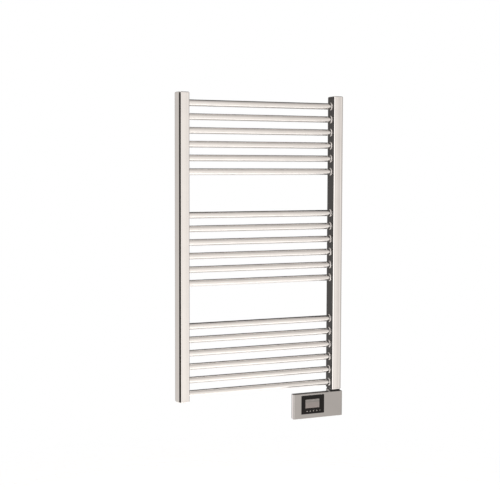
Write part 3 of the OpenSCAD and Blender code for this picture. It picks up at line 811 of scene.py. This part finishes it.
def key_icon(key):
    """A printed mark on the key's face."""
    low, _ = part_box(key + "_key")
    x, z = key_centre(key)
    bm = bmesh.new()
    for outline in icon_outlines(key):
        points = [(x + px * MM, z + pz * MM) for px, pz in outline]
        front = [bm.verts.new((px, low.y, pz)) for px, pz in points]
        back = [bm.verts.new((px, low.y + 0.12 * MM, pz)) for px, pz in points]
        count = len(points)
        for i in range(count):
            j = (i + 1) % count
            bm.faces.new((front[i], front[j], back[j], back[i]))
        caps = [bm.faces.new(front), bm.faces.new(back[::-1])]
        bmesh.ops.triangulate(bm, faces=caps)
    finish_piece(key + "_mark", bm, "icon", [], key + "_button", 30.0, False)


def plate_outline(box, inset, y, square_right):
    """Outline of a back plate; a square right end butts against the block's wall."""
    low, high = box
    x0, x1 = low.x + inset, high.x - (0.0 if square_right else inset)
    z0, z1 = low.z + inset, high.z - inset
    r = EDGE_R
    points = quarter(x0 + r, z0 + r, r, 180, 270, 5)
    points += [(x1, z0), (x1, z1)] if square_right else (
        quarter(x1 - r, z0 + r, r, 270, 360, 5) + quarter(x1 - r, z1 - r, r, 0, 90, 5)
    )
    points += quarter(x0 + r, z1 - r, r, 90, 180, 5)
    return [(x, y, z) for x, z in points]


def back_plate(node, screws):
    """Moulded cover with a rounded rear edge and a hole for each screw."""
    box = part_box(node)
    low, high = box
    soft = 0.7 * MM
    levels = [(low.y, 0.15 * MM), (low.y + 0.15 * MM, 0.0)]
    levels += [
        (high.y - soft * (1 - math.sin(a)), soft * (1 - math.cos(a)))
        for a in (0, 0.3, 0.6, 0.9, 1.2, 1.4, math.pi / 2)
    ]
    square_right = node == "head_back_plate"
    bm = bmesh.new()
    loft(bm, [plate_outline(box, inset, y, square_right) for y, inset in levels])
    cutters = [cylinder_cutter((x, low.y - 1 * MM, z), 1.6 * MM, "Y", 5 * MM, 32) for x, z in screws]
    if node == "block_back_plate":
        bush_low, bush_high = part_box("inlet_bush")
        centre = ((bush_low.x + bush_high.x) / 2, low.y - 1 * MM, (bush_low.z + bush_high.z) / 2)
        cutters.append(cylinder_cutter(centre, 5.5 * MM, "Y", 5 * MM))
    finish_piece(node + "_cover", cut(bm, cutters), "back", [node], "rack", 30.0)


def pan_screw(bm, x, y, z, turn):
    """Cross-head pan screw, its head resting on the plane y."""
    head_r, head_t = 2.6 * MM, 1.8 * MM
    shank_r, shank_l, lift, dome = 1.2 * MM, 9 * MM, 0.02 * MM, (0, 20, 40, 60, 78, 90)
    profile = [(0, -shank_l), (shank_r, -shank_l), (shank_r, lift)]
    profile += [(head_r - 0.1 * MM, lift), (head_r, 0.15 * MM)]
    profile += [
        (head_r / 2 * (1 + math.cos(math.radians(a))), head_t - 1.2 * MM * (1 - math.sin(math.radians(a))))
        for a in dome
    ]
    profile += [(0, head_t)]
    screw = bmesh.new()
    revolve(screw, profile, (x, y, z), "Y", 40)
    cutters = []
    for k in range(2):
        a = turn + math.pi / 2 * k
        along, across = Vector((math.cos(a), 0, math.sin(a))), Vector((-math.sin(a), 0, math.cos(a)))
        slot = bmesh.new()
        middle = Vector((x, 0, z))
        rings = []
        for level, size in ((y + head_t - 1.0 * MM, 0.5), (y + head_t + 0.5 * MM, 1.0)):
            ring = []
            for u, v in ((-1, -1), (1, -1), (1, 1), (-1, 1)):
                p = middle + along * (u * 1.5 * MM * size) + across * (v * 0.36 * MM)
                ring.append((p.x, level, p.z))
            rings.append(ring)
        loft(slot, rings)
        cutters.append(slot)
    shaped = cut(screw, cutters)
    mesh = bpy.data.meshes.new("screw_part")
    shaped.to_mesh(mesh)
    shaped.free()
    bm.from_mesh(mesh)
    bpy.data.meshes.remove(mesh)


def screw_places():
    """Where the back plates' screws are, as (x, y, z), from the frame's plates."""
    head, block = [], []
    for x in (HOUSE_LOW.x + 7 * MM, STEP_X - 5 * MM):
        for z in (HOUSE_HIGH.z - 6 * MM, HOUSE_LOW.z + 6 * MM):
            head.append((x, HEAD_PLATE[1].y, z))
    for x, z in (
        (STEP_X + 6 * MM, HOUSE_HIGH.z - 16 * MM), (STEP_X + 6 * MM, HOUSE_LOW.z + 5.5 * MM),
        (HOUSE_HIGH.x - 6 * MM, HOUSE_LOW.z + 5.5 * MM),
    ):
        block.append((x, BLOCK_PLATE[1].y, z))
    return head, block


def inlet_bush():
    """Soft grommet with a rounded lip and a groove round its mouth."""
    low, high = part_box("inlet_bush")
    x, z = (low.x + high.x) / 2, (low.z + high.z) / 2
    r, bore = (high.x - low.x) / 2, 3.7 * MM
    seat = BLOCK_PLATE[1].y + 0.02 * MM
    top = high.y
    neck_r, groove, soft = 5.4 * MM, top - 0.35 * MM, 0.7 * MM
    profile = [(bore, low.y), (5.0 * MM, low.y), (neck_r, low.y + 0.5 * MM), (neck_r, seat)]
    profile += [(r - 0.2 * MM, seat)]
    profile += arc(r - soft, top - soft, soft, (0, 30, 60, 90))
    profile += [(5.6 * MM, top), (5.4 * MM, groove), (5.0 * MM, groove), (4.8 * MM, top)]
    profile += [(bore + 0.4 * MM, top), (bore, top - 0.4 * MM)]
    bm = bmesh.new()
    revolve(bm, profile, (x, 0.0, z), "Y", 56)
    finish_piece("inlet_bush_grommet", bm, "seal", ["inlet_bush"], "rack", 40.0)


controller_housing()
display_window()
lcd_module()
for key in KEYS:
    key_cap(key)
    key_icon(key)
HEAD_SCREWS, BLOCK_SCREWS = screw_places()
back_plate("head_back_plate", [(x, z) for x, _, z in HEAD_SCREWS])
back_plate("block_back_plate", [(x, z) for x, _, z in BLOCK_SCREWS])
screws = bmesh.new()
for count, (sx, sy, sz) in enumerate(HEAD_SCREWS + BLOCK_SCREWS):
    pan_screw(screws, sx, sy, sz, 0.4 + 0.9 * count)
finish_piece("back_plate_screws_heads", screws, "screw", ["back_plate_screws"], "rack", 30.0)
inlet_bush()

for node_name, look_name in NODE_LOOKS.items():
    dress_node(node_name, look_name)


# ---------------------------------------------------------------- stage, light and camera


EYE = (-0.999, -2.540, 0.228)
DARK = (0.045, 0.040, 0.038)
# The directions from the card's corner to its two ends, in degrees turning from the front to the left.
CORNER_FLAG = (8, 96)
CARD_RAYS_OFF = (
    "visible_camera", "visible_diffuse", "visible_shadow", "visible_transmission",
    "visible_volume_scatter",
)


def stage_card(name, corners, colour, strength):
    """A studio card, fixed in the room: seen in the chrome, but neither by the camera nor as a shadow."""
    mesh = bpy.data.meshes.new(name)
    mesh.from_pydata(corners, [], [list(range(len(corners)))])
    mat = bpy.data.materials.new(name + "_paper")
    mat.use_nodes = True
    tree = mat.node_tree
    tree.nodes.clear()
    glow = add(tree, "ShaderNodeEmission", Color=(*colour, 1), Strength=strength)
    out = add(tree, "ShaderNodeOutputMaterial")
    tree.links.new(glow.outputs["Emission"], out.inputs["Surface"])
    mesh.materials.append(mat)
    obj = bpy.data.objects.new(name, mesh)
    bpy.context.collection.objects.link(obj)
    for ray in CARD_RAYS_OFF:
        setattr(obj, ray, False)


def corner_flag():
    """Tall dark card, placed so that the camera sees it in the left upright's front corner.

    Seen from behind, the upright's whole outer face mirrors it too.
    """
    x, y, away, bottom, top = -0.242, -0.036, 0.25, -0.66, 0.56
    (ax, ay), (bx, by) = [
        (x - away * math.sin(a), y - away * math.cos(a)) for a in map(math.radians, CORNER_FLAG)
    ]
    corners = [(ax, ay, bottom), (bx, by, bottom), (bx, by, top), (ax, ay, top)]
    stage_card("corner_flag", corners, DARK, 1.0)


def side_card():
    """Small white card, placed so that the camera sees it in the controller's left end."""
    x0, x1 = HOUSE_LOW.x - 0.11, HOUSE_LOW.x - 0.044
    z0, z1 = HOUSE_HIGH.z - 0.15, HOUSE_HIGH.z - 0.026
    y = 0.1
    corners = [(x0, y, z0), (x1, y, z0), (x1, y, z1), (x0, y, z1)]
    stage_card("side_card", corners, (1.0, 0.95, 0.94), 1.45)


def floor():
    """Pale disc well under the rack, fading out at its rim."""
    bm = bmesh.new()
    radius, z = 2.6, -1.25
    bmesh.ops.create_grid(bm, x_segments=8, y_segments=8, size=radius)
    mesh = bpy.data.meshes.new("floor")
    bm.to_mesh(mesh)
    bm.free()
    mat, tree, shader = new_material("floor_paper")
    shader.inputs["Base Color"].default_value = (0.93, 0.92, 0.91, 1)
    shader.inputs["Roughness"].default_value = 0.9
    shader.inputs["Specular IOR Level"].default_value = 0.1
    place = add(tree, "ShaderNodeTexCoord")
    away = add(tree, "ShaderNodeVectorMath", operation="LENGTH")
    tree.links.new(place.outputs["Object"], away.inputs[0])
    rim = (0.35 * radius, 0.98 * radius)
    fade = remap(tree, away.outputs["Value"], rim, (1.0, 0.0), "SMOOTHSTEP")
    tree.links.new(fade, shader.inputs["Alpha"])
    mesh.materials.append(mat)
    obj = bpy.data.objects.new("floor", mesh)
    obj.location = (0, 0, z)
    bpy.context.collection.objects.link(obj)


def studio_world():
    """White to the camera; in reflections a soft warm room.

    Going round, the room is bright in front and to the left, even at the sides, and dark behind to
    the right. A dark patch behind, seen steeply from above or below, draws the bars' edge lines.
    """
    world = bpy.data.worlds.new("studio")
    bpy.context.scene.world = world
    world.use_nodes = True
    tree = world.node_tree
    tree.nodes.clear()
    place = add(tree, "ShaderNodeTexCoord")
    split = add(tree, "ShaderNodeSeparateXYZ")
    tree.links.new(place.outputs["Generated"], split.inputs["Vector"])

    def math_node(kind, a, b=None):
        """A maths node over values or sockets."""
        node = add(tree, "ShaderNodeMath", operation=kind)
        for index, value in enumerate((a, b)):
            if value is None:
                continue
            if isinstance(value, (int, float)):
                node.inputs[index].default_value = value
            else:
                tree.links.new(value, node.inputs[index])
        return node.outputs["Value"]

    left = math_node("MULTIPLY", split.outputs["X"], -1.0)
    front = math_node("MULTIPLY", split.outputs["Y"], -1.0)
    turn = math_node("ARCTAN2", left, front)
    place_round = math_node("ADD", math_node("DIVIDE", turn, 2 * math.pi), 0.5)

    def at(degrees):
        return degrees / 360 + 0.5

    stops = [
        (at(-180), (0.62, 0.59, 0.57)), (at(-176), (0.50, 0.47, 0.45)), (at(-171), (0.15, 0.14, 0.13)),
        (at(-150), (0.15, 0.14, 0.13)), (at(-138), (0.57, 0.54, 0.52)),
        (at(-100), (0.58, 0.55, 0.53)), (at(-48), (0.60, 0.57, 0.55)),
        (at(-36), (0.68, 0.64, 0.61)), (at(-25), (0.85, 0.81, 0.77)), (at(-18), (0.96, 0.92, 0.88)),
        (at(-11), (0.98, 0.94, 0.90)), (at(-5), (1.55, 1.50, 1.45)),
        (at(78), (1.35, 1.31, 1.27)), (at(90), (0.68, 0.65, 0.62)), (at(180), (0.62, 0.59, 0.57)),
    ]
    around = ramp(tree, place_round, stops)
    def eased(source, span, onto):
        return remap(tree, source, span, onto, "SMOOTHSTEP")

    lift = eased(split.outputs["Z"], (-0.6, 0.9), (1.08, 0.80))
    steep = eased(math_node("ABSOLUTE", split.outputs["Z"]), (0.28, 0.42), (0.0, 1.0))
    behind = eased(split.outputs["Y"], (0.05, 0.25), (0.0, 0.95))
    off_middle = math_node("ABSOLUTE", math_node("SUBTRACT", split.outputs["X"], 0.36))
    right = eased(off_middle, (0.14, 0.07), (0.0, 1.0))
    dark = math_node("MULTIPLY", math_node("MULTIPLY", steep, behind), right)
    shade = math_node("SUBTRACT", 1.0, dark)
    seen = add(tree, "ShaderNodeBackground")
    tree.links.new(around, seen.inputs["Color"])
    tree.links.new(math_node("MULTIPLY", lift, shade), seen.inputs["Strength"])
    white = add(tree, "ShaderNodeBackground", Color=(1, 1, 1, 1), Strength=1.0)
    path = add(tree, "ShaderNodeLightPath")
    mix = add(tree, "ShaderNodeMixShader")
    tree.links.new(path.outputs["Is Camera Ray"], mix.inputs["Fac"])
    tree.links.new(seen.outputs["Background"], mix.inputs[1])
    tree.links.new(white.outputs["Background"], mix.inputs[2])
    out = add(tree, "ShaderNodeOutputWorld")
    tree.links.new(mix.outputs["Shader"], out.inputs["Surface"])


def soft_light(name, place, aim, size, power):
    """Large area light that fills the matt pieces and the floor, and leaves no mark in the chrome."""
    data = bpy.data.lights.new(name, "AREA")
    data.shape = "SQUARE"
    data.size = size
    data.energy = power
    obj = bpy.data.objects.new(name, data)
    bpy.context.collection.objects.link(obj)
    obj.location = place
    obj.rotation_euler = (Vector(aim) - Vector(place)).to_track_quat("-Z", "Y").to_euler()
    obj.visible_glossy = False
    obj.visible_camera = False


def camera():
    """Camera to the left of the rack's front, tipped a little down, with a small shift and roll."""
    pan, tip, roll_angle = math.radians(-21), math.radians(86.72), 0.003
    data = bpy.data.cameras.new("camera")
    data.sensor_fit = "HORIZONTAL"
    data.sensor_width = 36.0
    data.lens = 69.27
    data.shift_y = -0.06
    data.clip_end = 50.0
    obj = bpy.data.objects.new("camera", data)
    bpy.context.collection.objects.link(obj)
    turn = Matrix.Rotation(pan, 4, "Z") @ Matrix.Rotation(tip, 4, "X")
    roll = Matrix.Rotation(roll_angle, 4, "Z")
    obj.matrix_world = Matrix.Translation(EYE) @ turn @ roll
    bpy.context.scene.camera = obj


bpy.context.scene.view_settings.view_transform = "Standard"
bpy.context.scene.view_settings.look = "None"
floor()
studio_world()
soft_light("key_light", (-1.2, -2.4, 2.2), (0, 0, -0.2), 2.5, 60)
soft_light("floor_light", (0.3, 0.2, 2.4), (0, 0, -1.2), 3.0, 90)
corner_flag()
side_card()
camera()
